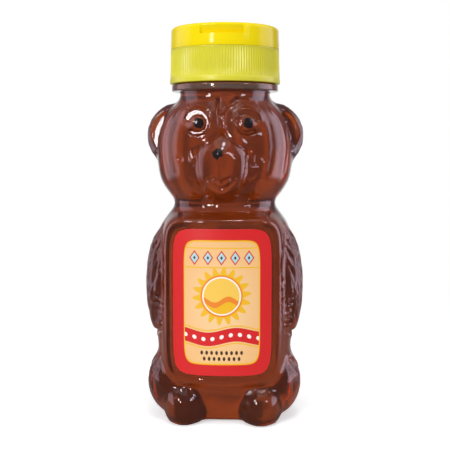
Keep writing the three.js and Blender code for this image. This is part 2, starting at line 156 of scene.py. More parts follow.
def points_of(piece):
    return rows_of(piece.data.vertices, "co") / MM


def move_points(piece, points):
    piece.data.vertices.foreach_set("co", (points * MM).ravel())
    piece.data.update()


# %% A turned piece: a profile of [radius, height] points, spun round the Z axis
def turned(name, profile, steps, closed=False):
    bpy.ops.mesh.primitive_plane_add(size=MM, enter_editmode=True)
    bpy.ops.mesh.select_mode(type="VERT")
    bpy.ops.mesh.select_all(action="SELECT")
    bpy.ops.mesh.merge(type="CENTER")
    radius, height = profile[0]
    bpy.ops.transform.translate(value=(radius * MM, 0, height * MM))
    for next_radius, next_height in profile[1:]:
        step = ((next_radius - radius) * MM, 0, (next_height - height) * MM)
        bpy.ops.mesh.extrude_vertices_move(TRANSFORM_OT_translate={"value": step})
        radius, height = next_radius, next_height
    if closed:
        for vertex in bmesh.from_edit_mesh(bpy.context.object.data).verts:
            if len(vertex.link_edges) == 1:
                vertex.select_set(True)
        bpy.ops.mesh.edge_face_add()
    bpy.ops.mesh.select_all(action="SELECT")
    bpy.ops.mesh.spin(steps=steps, angle=2 * math.pi, center=(0, 0, 0), axis=(0, 0, 1))
    bpy.ops.mesh.select_all(action="SELECT")
    bpy.ops.mesh.remove_doubles(threshold=0.002 * MM)
    bpy.ops.mesh.normals_make_consistent(inside=False)
    leave_edit()
    return just_added(name)


# %% [markdown]
# ## Studio
# A clear bottle shows little of its own and much of the room, so the world has a face for each kind of ray.
# Seen directly it is white, as in the photograph. Seen through the honey it has pale and darker upright
# panels, whose bent images draw the relief. Mirrored in the gloss it is a dim room with a pale wall on
# either side. A floor of white paper catches a soft shadow, and a few lamps draw sharp highlights.

# %% Camera, as the photograph's: a little to the bear's left and level with its face
CAMERA_DISTANCE, CAMERA_HEIGHT = 332 * MM, 101.7 * MM
CAMERA_TURN, CAMERA_PITCH = math.radians(3), math.radians(5.15)
FOCAL_PIXELS, FRAME_PIXELS = 870, 450

camera = bpy.data.cameras.new("camera")
camera.sensor_width = 36
camera.lens = camera.sensor_width * FOCAL_PIXELS / FRAME_PIXELS
camera_object = bpy.data.objects.new("camera", camera)
bpy.context.scene.collection.objects.link(camera_object)
camera_object.location = (
    CAMERA_DISTANCE * math.sin(CAMERA_TURN), -CAMERA_DISTANCE * math.cos(CAMERA_TURN), CAMERA_HEIGHT)
camera_object.rotation_euler = (math.pi / 2 - CAMERA_PITCH, 0, CAMERA_TURN)
bpy.context.scene.camera = camera_object
bpy.context.scene.view_settings.view_transform = "Standard"
print("camera lens in mm:", round(camera.lens, 1))


# %% Small helpers for node trees
def new_material(name):
    material = bpy.data.materials.new(name)
    material.use_nodes = True
    return material, material.node_tree


def fill_socket(tree, socket, value):
    """Gives a socket a number, a vector or a colour, or links a field or another socket to it."""
    value = value.socket if isinstance(value, Field) else value
    if isinstance(value, bpy.types.NodeSocket):
        tree.links.new(value, socket)
    elif socket.type == "RGBA":
        socket.default_value = (*value, 1)
    else:
        socket.default_value = value


def fill_named(tree, node, **values):
    for name, value in values.items():
        fill_socket(tree, node.inputs[name.replace("_", " ")], value)


def add_node(tree, kind, *values, **named):
    """Adds a node and fills its sockets, in their order or by name."""
    node = tree.nodes.new(kind)
    for socket, value in zip(node.inputs, values):
        fill_socket(tree, socket, value)
    fill_named(tree, node, **named)
    return node


def mix_colour(tree, share, first, second):
    node = tree.nodes.new("ShaderNodeMix")
    node.data_type = "RGBA"
    for index, value in ((0, share), (6, first), (7, second)):
        fill_socket(tree, node.inputs[index], value)
    return node.outputs[2]


# %% Fields: numbers that vary over a surface or over the sky
class Field:
    """A number that varies from place to place. Arithmetic on fields adds Math nodes to the tree."""

    def __init__(self, tree, socket):
        self.tree, self.socket = tree, socket

    def apply(self, operation, *others):
        node = add_node(self.tree, "ShaderNodeMath", self, *others)
        node.operation = operation
        return Field(self.tree, node.outputs[0])

    __add__ = partialmethod(apply, "ADD")
    __sub__ = partialmethod(apply, "SUBTRACT")
    __mul__ = partialmethod(apply, "MULTIPLY")
    __truediv__ = partialmethod(apply, "DIVIDE")
    __pow__ = partialmethod(apply, "POWER")
    size = partialmethod(apply, "ABSOLUTE")

    def repeat(self, period):
        return self.apply("WRAP", period / 2, -period / 2)

    def ramp(self, low, high, out_low=0.0, out_high=1.0):
        node = add_node(self.tree, "ShaderNodeMapRange", self, low, high, out_low, out_high)
        node.interpolation_type = "SMOOTHSTEP"
        return Field(self.tree, node.outputs[0])

    def below(self, edge, softness=0.07):
        """1 where the field is under the edge, 0 where it is over."""
        return self.ramp(edge - softness, edge + softness, 1.0, 0.0)

    def above(self, edge, softness):
        return (self * -1).below(-edge, softness)


def length(first, second):
    return (first * first + second * second) ** 0.5


def place_on(tree, kind="Object"):
    return tree.nodes.new("ShaderNodeTexCoord").outputs[kind]


def fields_of_place(tree, kind="Object"):
    parts = add_node(tree, "ShaderNodeSeparateXYZ", place_on(tree, kind))
    return [Field(tree, socket) for socket in parts.outputs]


def noise(tree, waves, detail=2.0, stretch=(1, 1, 1), kind="Object"):
    """A noise with so many waves per metre, and fewer along an axis whose stretch is under 1."""
    mapping = add_node(tree, "ShaderNodeMapping", Vector=place_on(tree, kind), Scale=stretch)
    node = add_node(tree, "ShaderNodeTexNoise", Vector=mapping.outputs[0], Scale=waves, Detail=detail)
    return Field(tree, node.outputs["Fac"])


# %% World: white to the camera, panels through the honey, a dim room with two pale walls in the gloss
FULL_WHITE, EVEN_LIGHT = (1, 1, 1), (0.44, 0.44, 0.45)
ROOM_BELOW, ROOM_ABOVE = (0.2, 0.18, 0.23), (0.3, 0.28, 0.34)
PALE_WALLS = ((102, (3.0, 2.7, 3.3)), (-98, (1.7, 1.55, 1.9)))  # each: degrees from the front, and tone
DARK_PANEL, DARK_CEILING = (0.35, 0.33, 0.31), (0.22, 0.2, 0.19)
world = bpy.data.worlds.new("studio")
bpy.context.scene.world = world
world.use_nodes = True
tree = world.node_tree
rays = tree.nodes.new("ShaderNodeLightPath").outputs
x, y, z = fields_of_place(tree, "Generated")
room = mix_colour(tree, z.ramp(0.1, 0.8), ROOM_BELOW, ROOM_ABOVE)
room = mix_colour(tree, y.ramp(0.75, 1.0), room, FULL_WHITE)
level = (z - 0.15).size().ramp(0.42, 0.68, 1.0, 0.0)
level_reach = (z * z * -1 + 1).apply("SQRT")
for degrees, tone in PALE_WALLS:
    turn = math.radians(degrees)
    near = (x * math.sin(turn) - y * math.cos(turn)) / level_reach
    room = mix_colour(tree, near.ramp(0.88, 0.975) * level, room, tone)
panels = noise(tree, 5.0, 1.0, (1, 1, 0.2), "Generated")
surround = mix_colour(tree, panels.ramp(0.4, 0.56), DARK_PANEL, FULL_WHITE)
surround = mix_colour(tree, z.size().ramp(0.25, 0.85), surround, DARK_CEILING)
colour = mix_colour(tree, rays["Is Glossy Ray"], EVEN_LIGHT, room)
colour = mix_colour(tree, rays["Is Transmission Ray"], colour, surround)
colour = mix_colour(tree, rays["Is Camera Ray"], colour, FULL_WHITE)
fill_named(tree, tree.nodes["Background"], Color=colour)
print("world:", len(tree.nodes), "nodes")

# %% Floor: a sheet of white paper that fades into the background
FLOOR_NEAR, FLOOR_FAR = 0.05, 0.3
PAPER, PAPER_MIRRORED = (0.8, 0.8, 0.8), (0.3, 0.29, 0.29)
PAPER_GLOW = 0.5
bpy.ops.mesh.primitive_plane_add(size=2 * FLOOR_FAR)
floor = just_added("floor")
material, tree = new_material("white_paper_floor")
tree.nodes.remove(tree.nodes["Principled BSDF"])
rays = tree.nodes.new("ShaderNodeLightPath").outputs
seen = Field(tree, rays["Is Camera Ray"]).apply("MAXIMUM", rays["Is Transmission Ray"])
tone = mix_colour(tree, rays["Is Glossy Ray"], PAPER, PAPER_MIRRORED)
paper = add_node(tree, "ShaderNodeBsdfDiffuse", Color=tone)
glow = add_node(tree, "ShaderNodeEmission", Color=FULL_WHITE, Strength=seen * PAPER_GLOW)
both = add_node(tree, "ShaderNodeAddShader", paper.outputs[0], glow.outputs[0])
clear = tree.nodes.new("ShaderNodeBsdfTransparent")
x, y, _ = fields_of_place(tree)
fade = length(x, y).ramp(FLOOR_NEAR, FLOOR_FAR)
sheet = add_node(tree, "ShaderNodeMixShader", fade, both.outputs[0], clear.outputs[0])
fill_named(tree, tree.nodes["Material Output"], Surface=sheet.outputs[0])
floor.data.materials.append(material)
report(floor)

# %% Lamps: soft boxes that stand round the bear and look at its middle
LAMP_TARGET = Vector((0, 0, 90 * MM))
LAMPS = [  # name, degrees from the front, degrees up, distance, width, height, watts, colour
    ("key_lamp", -24, 10, 0.6, 0.05, 0.13, 0.82, (1, 1, 1)),
    ("left_window", -40, 25, 0.8, 0.13, 0.16, 1.44, (0.97, 0.97, 1)),
    ("right_window", 50, 22, 0.8, 0.12, 0.2, 0.68, (0.86, 0.86, 1)),
    ("ceiling", 15, 72, 0.9, 0.22, 0.22, 1.8, (0.97, 0.95, 1)),
    ("top_box", 0, 80, 1.0, 1.0, 1.0, 2.0, (1, 1, 1)),
]
for name, degrees, degrees_up, distance, width, height, watts, tone in LAMPS:
    turn, rise = math.radians(degrees), math.radians(degrees_up)
    way = Vector((math.sin(turn) * math.cos(rise), -math.cos(turn) * math.cos(rise), math.sin(rise)))
    light = bpy.data.lights.new(name, "AREA")
    light.shape = "RECTANGLE"
    light.size, light.size_y = width, height
    light.energy = watts
    light.color = tone
    stand = bpy.data.objects.new(name, light)
    bpy.context.scene.collection.objects.link(stand)
    stand.location = LAMP_TARGET + way * distance
    stand.rotation_euler = (-way).to_track_quat("-Z", "Y").to_euler()
print("lamps:", [light.name for light in bpy.data.lights])

# %% [markdown]
# ## The bear's outer skin
# The bottle is blown in a mould, so every form runs softly into the next. It could be sculpted by hand, but
# a repeatable way is to stack rings for the trunk, add a ball for each limb, ear, eye and the muzzle, melt
# all of it together with a voxel remesh, and smooth the joins.

# %% Trunk: one circle, extruded ring by ring
# Each ring: height, half-width, reach to the front, reach to the back, power of the rounded outline
RINGS = [
    (0, 18.5, 15.5, 21, 2.5), (1.6, 20.8, 17.4, 23.4, 2.6), (6, 22.8, 19.6, 25.2, 2.7),
    (16.1, 24.6, 22, 26.6, 2.9), (27, 25.3, 22.6, 27, 3), (45.1, 25.6, 22.8, 26.8, 3),
    (60, 25.4, 22.8, 25.8, 3), (68.1, 25, 22.6, 24.2, 2.8), (72.9, 23.9, 21.9, 22.4, 2.6),
    (77, 21.1, 19.2, 19.8, 2.3), (80.6, 18.7, 16.6, 17.8, 2.1), (84.5, 21.4, 18.8, 20.4, 2.1),
    (89.1, 24.2, 21, 23, 2.2), (95.1, 25.4, 22, 24.4, 2.2), (103, 25.7, 22, 24.6, 2.2),
    (109.9, 24.3, 21, 23.2, 2.2), (115, 21.6, 19.4, 20.4, 2.1), (119.2, 17.2, 17.2, 17.2, 2),
    (130, 17.2, 17.2, 17.2, 2),
]
RINGS_BETWEEN = 5
AROUND = 96


def smooth_rings():
    """The rings with more in between, on a smooth curve through each column of numbers."""
    rows = np.array(RINGS, float)
    smooth = []
    for index in range(len(rows) - 1):
        a, b = rows[index], rows[index + 1]
        before, after = rows[max(index - 1, 0)], rows[min(index + 2, len(rows) - 1)]
        slope_a, slope_b = (b - before) / (b[0] - before[0]), (after - a) / (after[0] - a[0])
        span = b[0] - a[0]
        for step in range(RINGS_BETWEEN):
            t = step / RINGS_BETWEEN
            row = (2 * t**3 - 3 * t**2 + 1) * a + (t**3 - 2 * t**2 + t) * span * slope_a
            row += (3 * t**2 - 2 * t**3) * b + (t**3 - t**2) * span * slope_b
            row[0] = a[0] + t * span
            smooth.append(row)
    return smooth + [rows[-1]]


def lay_ring(ring):
    """Puts the selected ring of vertices on a rounded outline."""
    height, side, front, back, power = ring
    mesh = bmesh.from_edit_mesh(bpy.context.object.data)
    turn_layer = mesh.verts.layers.float["turn"]
    for vertex in mesh.verts:
        if vertex.select:
            wave_x, wave_y = math.cos(vertex[turn_layer]), math.sin(vertex[turn_layer])
            reach = front if wave_y < 0 else back
            x = side * math.copysign(abs(wave_x) ** (2 / power), wave_x)
            y = reach * math.copysign(abs(wave_y) ** (2 / power), wave_y)
            vertex.co = (x * MM, y * MM, height * MM)


bpy.ops.mesh.primitive_circle_add(vertices=AROUND, radius=MM, fill_type="NGON", enter_editmode=True)
mesh = bmesh.from_edit_mesh(bpy.context.object.data)
turn_layer = mesh.verts.layers.float.new("turn")
for vertex in mesh.verts:
    vertex[turn_layer] = math.atan2(vertex.co.y, vertex.co.x)
rings = smooth_rings()
lay_ring(rings[0])
for ring in rings[1:]:
    bpy.ops.mesh.extrude_region_move(TRANSFORM_OT_translate={"value": (0, 0, MM)})
    lay_ring(ring)
bmesh.update_edit_mesh(bpy.context.object.data)
leave_edit()
trunk = just_added("trunk")
face_outwards(trunk)
report(trunk)

# %% Limbs, ears, eyes and muzzle: a ball each
# Each ball: distance out to the side, reach to the front, height, and radii across, in depth and up
EAR_OUT, EAR_HEIGHT, EAR_WIDTH, EAR_RISE = 18.8, 106, 11.3, 12.4
EYE_OUT, EYE_HEIGHT = 8.8, 110
BALLS_ON_BOTH_SIDES = [
    (23.6, 4.5, 50, (6.3, 10, 21)),  # arm
    (17.9, 5, 13.5, (11.4, 15.2, 13.8)),  # haunch
    (14, 14.5, 6, (8, 10.5, 10.6)),  # foot
    (EAR_OUT, -1, EAR_HEIGHT, (EAR_WIDTH, 4.8, EAR_RISE)),  # ear
    (EYE_OUT, 19, EYE_HEIGHT, (3.1, 2.8, 3.3)),  # eye
]
BALLS_IN_THE_MIDDLE = [
    (0, 17.5, 95, (11, 10.5, 12.4)),  # muzzle
    (0, 26.7, 99.2, (3.2, 1.6, 2.2)),  # nose
]


def ball(x, forward, height, radii):
    bpy.ops.mesh.primitive_uv_sphere_add(
        segments=48, ring_count=32, radius=1,
        location=(x * MM, -forward * MM, height * MM), scale=[radius * MM for radius in radii])
    return just_added("ball")


balls = [ball(side * out, *rest) for out, *rest in BALLS_ON_BOTH_SIDES for side in (-1, 1)]
balls += [ball(*values) for values in BALLS_IN_THE_MIDDLE]
bear = join("bear_skin", trunk, *balls)
report(bear)

# %% Melt together, press the base flat, melt again
MELT_VOXEL, SKIN_VOXEL = 0.8, 1.4
finish_with(bear, "REMESH", mode="VOXEL", voxel_size=MELT_VOXEL * MM)
points = points_of(bear)
points[:, 2] = np.maximum(points[:, 2], 0)
move_points(bear, points)
finish_with(bear, "REMESH", mode="VOXEL", voxel_size=SKIN_VOXEL * MM)
finish_with(bear, "SMOOTH", factor=0.5, iterations=5)
report(bear)

# %% Finer faces where the mould pressed marks: on the face, the limbs and round the label panel
LABEL_WIDTH, LABEL_HEIGHT, LABEL_MIDDLE = 35.6, 53.3, 45.75
LABEL_POWER = 8
PANEL_MARGIN, PANEL_RIM, PANEL_RECESS = 2.2, 1.3, 0.45
PANEL_BOW, PANEL_AXIS = 44.1, 20.2
FACE_BOTTOM, FACE_TOP, FACE_HALF, FACE_BACK = 82, 119.5, 18, -9
EYE_REACH = 5.8
panel_half_width = LABEL_WIDTH / 2 + PANEL_MARGIN + PANEL_RIM
panel_half_height = LABEL_HEIGHT / 2 + PANEL_MARGIN + PANEL_RIM


def on_the_face(x, y, z):
    return y < FACE_BACK and FACE_BOTTOM < z < FACE_TOP and abs(x) < FACE_HALF


def round_an_eye(x, y, z):
    return y < FACE_BACK and math.hypot(abs(x) - EYE_OUT, z - EYE_HEIGHT) < EYE_REACH


def on_a_limb(x, y, z):
    return abs(x) > 17 and 4 < z < 74 or abs(x) > 19.5 and 92 < z < 119


def at_the_panel(x, y, z):
    inside = min(panel_half_width - abs(x), panel_half_height - abs(z - LABEL_MIDDLE))
    return y < -10 and abs(x) < 24 and -3 < inside < 5


for region in (on_the_face, on_the_face, round_an_eye, on_a_limb, at_the_panel):
    edit(bear)
    select_where("faces", lambda face: region(*(face.calc_center_median() / MM)))
    bpy.ops.mesh.subdivide(number_cuts=1)
    bpy.ops.mesh.vertices_smooth(factor=0.5, repeat=2)
    leave_edit()
report(bear)

# %% [markdown]
# ## What the mould pressed into the skin
# Fur, eyelids, the mouth, fingers and toes are shallow marks. They could be drawn with a sculpting brush.
# Here each mark is a short line, and every point of the skin near the line moves in or out along its
# normal, deepest on the line and fading to nothing beside it. Marks on the face are placed by x and z, as
# seen from the front, and marks on the limbs on the skin unrolled round the Z axis. Last come flat floors
# in the ears and round the eyes, tilted so that those on one side mirror a lamp. That is what makes them
# show up in clear plastic.

# %% The brush
UNROLL_RADIUS = 27
skin_points, skin_normals = points_of(bear), rows_of(bear.data.vertex_normals, "vector")
front_plane = skin_points[:, [0, 2]]
unrolled = np.column_stack([
    UNROLL_RADIUS * np.arctan2(skin_points[:, 0], -skin_points[:, 1]), skin_points[:, 2]])
push = np.zeros(len(skin_points))


def stroke(plane, line, width, depth, mask=1.0):
    """Presses a line into the skin by its depth, or raises it where the depth is negative."""
    reach = 3 * width
    line = np.array(line, float)
    low, high = line.min(0) - reach, line.max(0) + reach
    near = np.where(np.all((plane > low) & (plane < high), axis=1))[0]
    best = np.full(len(near), reach)
    for start, end in zip(line[:-1], line[1:]):
        way = end - start
        share = np.clip(((plane[near] - start) @ way) / (way @ way), 0, 1)
        gap = np.linalg.norm(plane[near] - start - share[:, None] * way, axis=1)
        best = np.minimum(best, gap)
    fade = mask if np.isscalar(mask) else mask[near]
    push[near] -= depth * fade * np.exp(-(best / width) ** 2)


def stroke_pair(plane, line, width, depth, mask=1.0):
    for side in (-1, 1):
        stroke(plane, [(side * out, height) for out, height in line], width, depth, mask)


def unroll(degrees):
    return UNROLL_RADIUS * math.radians(degrees)


# %% Face
# Each mark: a line of points by distance from the middle and height, its width and its depth
MARKS_ON_BOTH_SIDES = [
    ([(0, 107.2), (9.7, 100.4)], 0.74, 1.0),  # top of the muzzle
    ([(9.9, 100), (9.6, 93), (6.8, 83.5)], 1.08, 1.0),  # side of the muzzle
    ([(0, 89.1), (1.0, 89.7), (2.9, 90.4), (4.9, 89.8)], 0.61, 1.0),  # mouth
    ([(3.9, 88.6), (2, 87), (0, 86.4)], 0.81, 0.8),  # under the lip
    ([(12.8, 98.6), (12.2, 97)], 0.61, 0.6),  # nicks in the cheek
    ([(14.8, 97.2), (15.8, 97.5)], 0.61, 0.55),
    ([(12.9, 95.6), (11.2, 95.2)], 0.61, 0.6),
]
MARKS_IN_THE_MIDDLE = [
    ([(-1.7, 118), (-1.3, 114), (-0.9, 110)], 0.75, 1.0),  # creases of the forehead
    ([(5, 118.3), (3.9, 117.2), (1.5, 116.5), (0.9, 114.8), (0.6, 112.5)], 0.75, 1.0),
    ([(0.4, 111.2), (0.4, 108)], 0.75, 0.9),
    ([(-1.2, 96.6), (-0.9, 91)], 0.61, 0.4),  # from the nose to the mouth
]
EYELID_RADIUS, LASH_RADIUS, LASH_COUNT, LASH_SPREAD = 5.1, 5.4, 9, 3.6
CHEEK_TUFTS = 4
on_face = np.clip(-1.6 * skin_normals[:, 1], 0, 1) * (skin_points[:, 2] > 80)
eyelid_turns = np.radians(np.linspace(15, 165, 24))
eyelid = np.column_stack([
    EYE_OUT + EYELID_RADIUS * np.cos(eyelid_turns), EYE_HEIGHT + EYELID_RADIUS * np.sin(eyelid_turns)])
stroke_pair(front_plane, eyelid, 0.81, -0.4, on_face)
for lash in np.linspace(-LASH_SPREAD, LASH_SPREAD, LASH_COUNT):
    out, foot = EYE_OUT + lash, EYE_HEIGHT + math.sqrt(LASH_RADIUS**2 - lash**2)
    stroke_pair(front_plane, [(out, foot), (out + 0.12 * lash, foot + 1.3)], 0.45, 0.22, on_face)
for line, width, depth in MARKS_ON_BOTH_SIDES:
    stroke_pair(front_plane, line, width, depth, on_face)
for tuft in range(CHEEK_TUFTS):
    out, top = 12.4 - 1.5 * tuft, 90.5 - 1.2 * tuft
    stroke_pair(front_plane, [(out, top), (out - 3.4, top - 4.2)], 0.68, 0.45, on_face)
for line, width, depth in MARKS_IN_THE_MIDDLE:
    stroke(front_plane, line, width, depth, on_face)
print("face marks: deepest", round(-push.min(), 2), "mm")

# %% Temples: soft flutes
FLUTE = ((0, 117), (3, 110), (4, 102), (1, 93))
FLUTE_TURNS = (44, 54, 64)
for degrees in FLUTE_TURNS:
    stroke_pair(unrolled, [(unroll(degrees + bend), height) for bend, height in FLUTE], 1.3, 0.14)
print("flutes:", 2 * len(FLUTE_TURNS))

# %% Fur on the arms and haunches, fingers and toes
# The strokes are scattered by a seeded generator, so that they come out the same each time.
FUR_ROWS, FUR_COLUMNS, FUR_WIDTH = 15, 10, 0.55
FINGERS, HAUNCH_TUFTS, TOES, TOES_OUT = 5, 9, (-3.6, -1.3, 1.1, 3.5), 13.2
ARM_EDGE = [(66, 72), (58, 67), (54.5, 58), (54, 47), (55.5, 38), (60, 34), (72, 32), (90, 32), (110, 35)]
scatter = np.random.default_rng(7)
on_limb = np.clip(1.4 - np.abs(skin_normals[:, 2]), 0, 1)
on_foot = np.clip(-2 * skin_normals[:, 1] + skin_normals[:, 2], 0, 1)
for side in (-1, 1):
    for row in range(FUR_ROWS):
        for column in range(FUR_COLUMNS):
            degrees = 56 + 6 * column + scatter.uniform(-2, 2)
            top = 38 + 2.3 * row + scatter.uniform(-0.8, 0.8)
            if ((degrees - 82) / 32) ** 2 + ((top - 55) / 17) ** 2 < 1:
                across, lean = unroll(degrees), scatter.uniform(0.4, 1.1)
                line = [(side * across, top), (side * (across + lean), top - 2.6 - scatter.uniform(0, 1.2))]
                stroke(unrolled, line, FUR_WIDTH, 0.34, on_limb)
stroke_pair(unrolled, [(unroll(degrees), height) for degrees, height in ARM_EDGE], 0.9, 1.0)
for finger in range(FINGERS):
    across, height = unroll(58.5 + 0.4 * finger), 46 - 2.4 * finger
    stroke_pair(unrolled, [(across, height), (across + 2.6, height + 0.8)], 0.65, 0.8, on_limb)
for tuft in range(HAUNCH_TUFTS):
    across, top = unroll(58 + 3.4 * tuft), 23.5 - 1.3 * abs(tuft - 3)
    line = [(across, top), (across + 1.1, top - 3), (across + 1.2, top - 7.5)]
    stroke_pair(unrolled, line, FUR_WIDTH, 0.4, on_limb)
for toe in TOES:
    line = [(TOES_OUT + toe, 16.5), (TOES_OUT + 1.05 * toe, 11.5)]
    stroke_pair(front_plane, line, 0.5, 0.5, on_foot)
skin_points = skin_points + push[:, None] * skin_normals
print("marks pressed, from", round(push.min(), 2), "to", round(push.max(), 2), "mm")

# %% Flat floors: the sockets round the eyes, a small facet on each eye and the dishes of the ears
SOCKET_TURN, FACET_TURN = math.radians(18.5), math.radians(16.7)
DISH_TURN, FLOOR_RISE = math.radians(15.5), math.radians(12.5)
SOCKET_FLOOR, FACET_FLOOR, DISH_FLOOR = -19, -21.1, -2.4  # where each plane lies, along Y
SOCKET_SHIFT, FACET_SHIFT = 0.45, 0.35  # how far out and up from the eye's middle they lie
DISH_OUT = 24
skin_x, skin_y, skin_z = skin_points.T  # views: a change to one of them changes the points
facing_front = -skin_normals[:, 1]


def smooth_step(low, high, values):
    share = np.clip((values - low) / (high - low), 0, 1)
    return share * share * (3 - 2 * share)


def flat_floor(side, out, depth, height, turn, share):
    """Lays points on a plane that faces the front, turned a little outwards and tilted a little up."""
    plane = depth + side * math.tan(turn) * (skin_x - side * out)
    plane += math.tan(FLOOR_RISE) / math.cos(turn) * (skin_z - height)
    skin_y[:] += share * (plane - skin_y)


for side in (-1, 1):
    outwards, upwards = side * skin_x - EYE_OUT, skin_z - EYE_HEIGHT
    gap = np.hypot(outwards, upwards)
    rim = np.hypot(outwards - SOCKET_SHIFT, upwards - SOCKET_SHIFT)
    socket = smooth_step(2.7, 3.2, gap) * (1 - smooth_step(4.3, 5.4, rim)) * (on_face > 0.2)
    socket *= 1 - smooth_step(0.88, 0.99, (outwards - 0.3 * upwards) / np.maximum(gap, 1))
    flat_floor(side, EYE_OUT, SOCKET_FLOOR, EYE_HEIGHT, SOCKET_TURN, socket)
    gap = np.hypot(outwards - FACET_SHIFT, upwards - FACET_SHIFT)
    facet = (1 - smooth_step(0.5, 0.8, gap)) * (on_face > 0.2)
    flat_floor(side, EYE_OUT + FACET_SHIFT, FACET_FLOOR, EYE_HEIGHT + FACET_SHIFT, FACET_TURN, facet)
    gap = np.hypot((side * skin_x - EAR_OUT) / EAR_WIDTH, (skin_z - EAR_HEIGHT) / EAR_RISE)
    dish = (1 - smooth_step(0.7, 0.86, gap)) * smooth_step(0.05, 0.3, facing_front)
    dish *= smooth_step(21, 22.5, side * skin_x) * (skin_y > -7)
    flat_floor(side, DISH_OUT, DISH_FLOOR, EAR_HEIGHT, DISH_TURN, dish)
    print("points on flat floors:", [int((share > 0.5).sum()) for share in (socket, facet, dish)])

# %% [markdown]
# ## Label panel
# The label sits on a smooth raised pad with a bowed face and a shallow recess, so that the label's edge is
# guarded. Points of the skin inside the pad's rounded outline are laid on its bowed face, and those near
# the outline run over softly.


# %% Lay the panel into the skin
def outline_share(x, z, half_width, half_height):
    """1 on the rounded outline, less inside and more outside."""
    powers = (np.abs(x) / half_width) ** LABEL_POWER + (np.abs(z) / half_height) ** LABEL_POWER
    return powers ** (1 / LABEL_POWER)


across, up = skin_x, skin_z - LABEL_MIDDLE
inside = np.minimum(panel_half_width - np.abs(across), panel_half_height - np.abs(up))
corner_share = (1 - outline_share(across, up, panel_half_width, panel_half_height)) * panel_half_width
inside = np.where(inside > 4, inside, np.minimum(inside, corner_share))
bowed = PANEL_AXIS - np.sqrt(PANEL_BOW**2 - np.clip(across, -30, 30) ** 2)
bowed += PANEL_RECESS * smooth_step(0.6, 2.2, inside)
on_front = (skin_y < -8) * smooth_step(0.0, 0.5, facing_front)
skin_y += smooth_step(-2.0, 0.8, inside) * on_front * (bowed - skin_y)
skin_y += 0.35 * np.exp(-(((inside + 1.8) / 1.1) ** 2)) * on_front
skin_z[:] = np.maximum(skin_z, 0)
move_points(bear, skin_points)
report(bear)

# %% [markdown]
# ## Bottle: wall and neck
# The bottle is a shell. Its inner wall is a coarser copy of the skin, drawn in by the thickness of the
# plastic. The neck is round and has crisp edges, so it is turned from a profile: under the transfer ring,
# round the ring, up the outside, over the mouth and down the bore. Two bridges then join skin, neck and
# inner wall into one closed shell.

# %% Inner wall
WALL, INNER_VOXEL = 0.75, 1.7


def drawn_in(name, depth):
    work_on(bear)
    bpy.ops.object.duplicate()
    twin = just_added(name)
    finish_with(twin, "DISPLACE", strength=-depth * MM, mid_level=0)
    return twin


inner = drawn_in("inner_wall", WALL)
finish_with(inner, "REMESH", mode="VOXEL", voxel_size=INNER_VOXEL * MM)
finish_with(inner, "SMOOTH", factor=0.5, iterations=8)
finish_with(inner, "SHRINKWRAP", target=bear, wrap_mode="INSIDE", offset=WALL * MM)
finish_with(inner, "SMOOTH", factor=0.5, iterations=2)
wet = inner.data.attributes.new("wet", "FLOAT", "FACE")
wet.data.foreach_set("value", np.ones(len(inner.data.polygons)))
report(inner)

# %% Honey starts as a copy of the skin, drawn in by half of the wall, up to the filling height
FILL_HEIGHT, BORE_RADIUS, SHOULDER_HEIGHT = 126, 15.9, 119.2
OVERLAP = 0.35


def cut_above(piece, height, fill):
    edit_all(piece)
    bpy.ops.mesh.bisect(
        plane_co=(0, 0, height * MM), plane_no=(0, 0, 1), use_fill=fill, clear_outer=True)
    leave_edit()


honey = drawn_in("honey_fill", WALL - OVERLAP)
cut_above(honey, FILL_HEIGHT, fill=True)
report(honey)


# %% Neck profile
def corner(radius, height, size, start, end, steps=5):
    """Points on a quarter turn, for a rounded edge of a profile."""
    turns = np.radians(np.linspace(start, end, steps))
    return [(radius + size * math.cos(turn), height + size * math.sin(turn)) for turn in turns]


NECK_RADIUS, FINISH_RADIUS = 17.2, 17.4
RING_RADIUS, RING_BOTTOM, RING_TOP, LAND_HEIGHT = 20.05, 122.2, 124.6, 134.8
neck = turned("neck", [
    (NECK_RADIUS, RING_BOTTOM - 0.5),
    *corner(NECK_RADIUS + 0.3, RING_BOTTOM - 0.3, 0.3, 180, 90),
    *corner(RING_RADIUS - 0.5, RING_BOTTOM + 0.5, 0.5, -90, 0),
    *corner(RING_RADIUS - 0.5, RING_TOP - 0.5, 0.5, 0, 90),
    *corner(FINISH_RADIUS + 0.3, RING_TOP + 0.3, 0.3, 270, 180),
    *corner(FINISH_RADIUS - 0.4, LAND_HEIGHT - 0.4, 0.4, 0, 90),
    *corner(BORE_RADIUS + 0.3, LAND_HEIGHT - 0.3, 0.3, 90, 180),
    (BORE_RADIUS, 128),
    (BORE_RADIUS, RING_BOTTOM),
    (BORE_RADIUS, SHOULDER_HEIGHT + 0.6),
], 192)
report(neck)

# %% A screw thread: a short section, wound up by a Screw modifier, with its ends run out
THREAD_PITCH, THREAD_START, THREAD_TURNS, THREAD_CREST = 4.233, 127.2, 1.3, 18.65
THREAD_FOOT, THREAD_TOP, THREAD_SINK = 1.05, 0.45, 0.3
STEPS_PER_TURN, FADE_STEPS = 48, 4


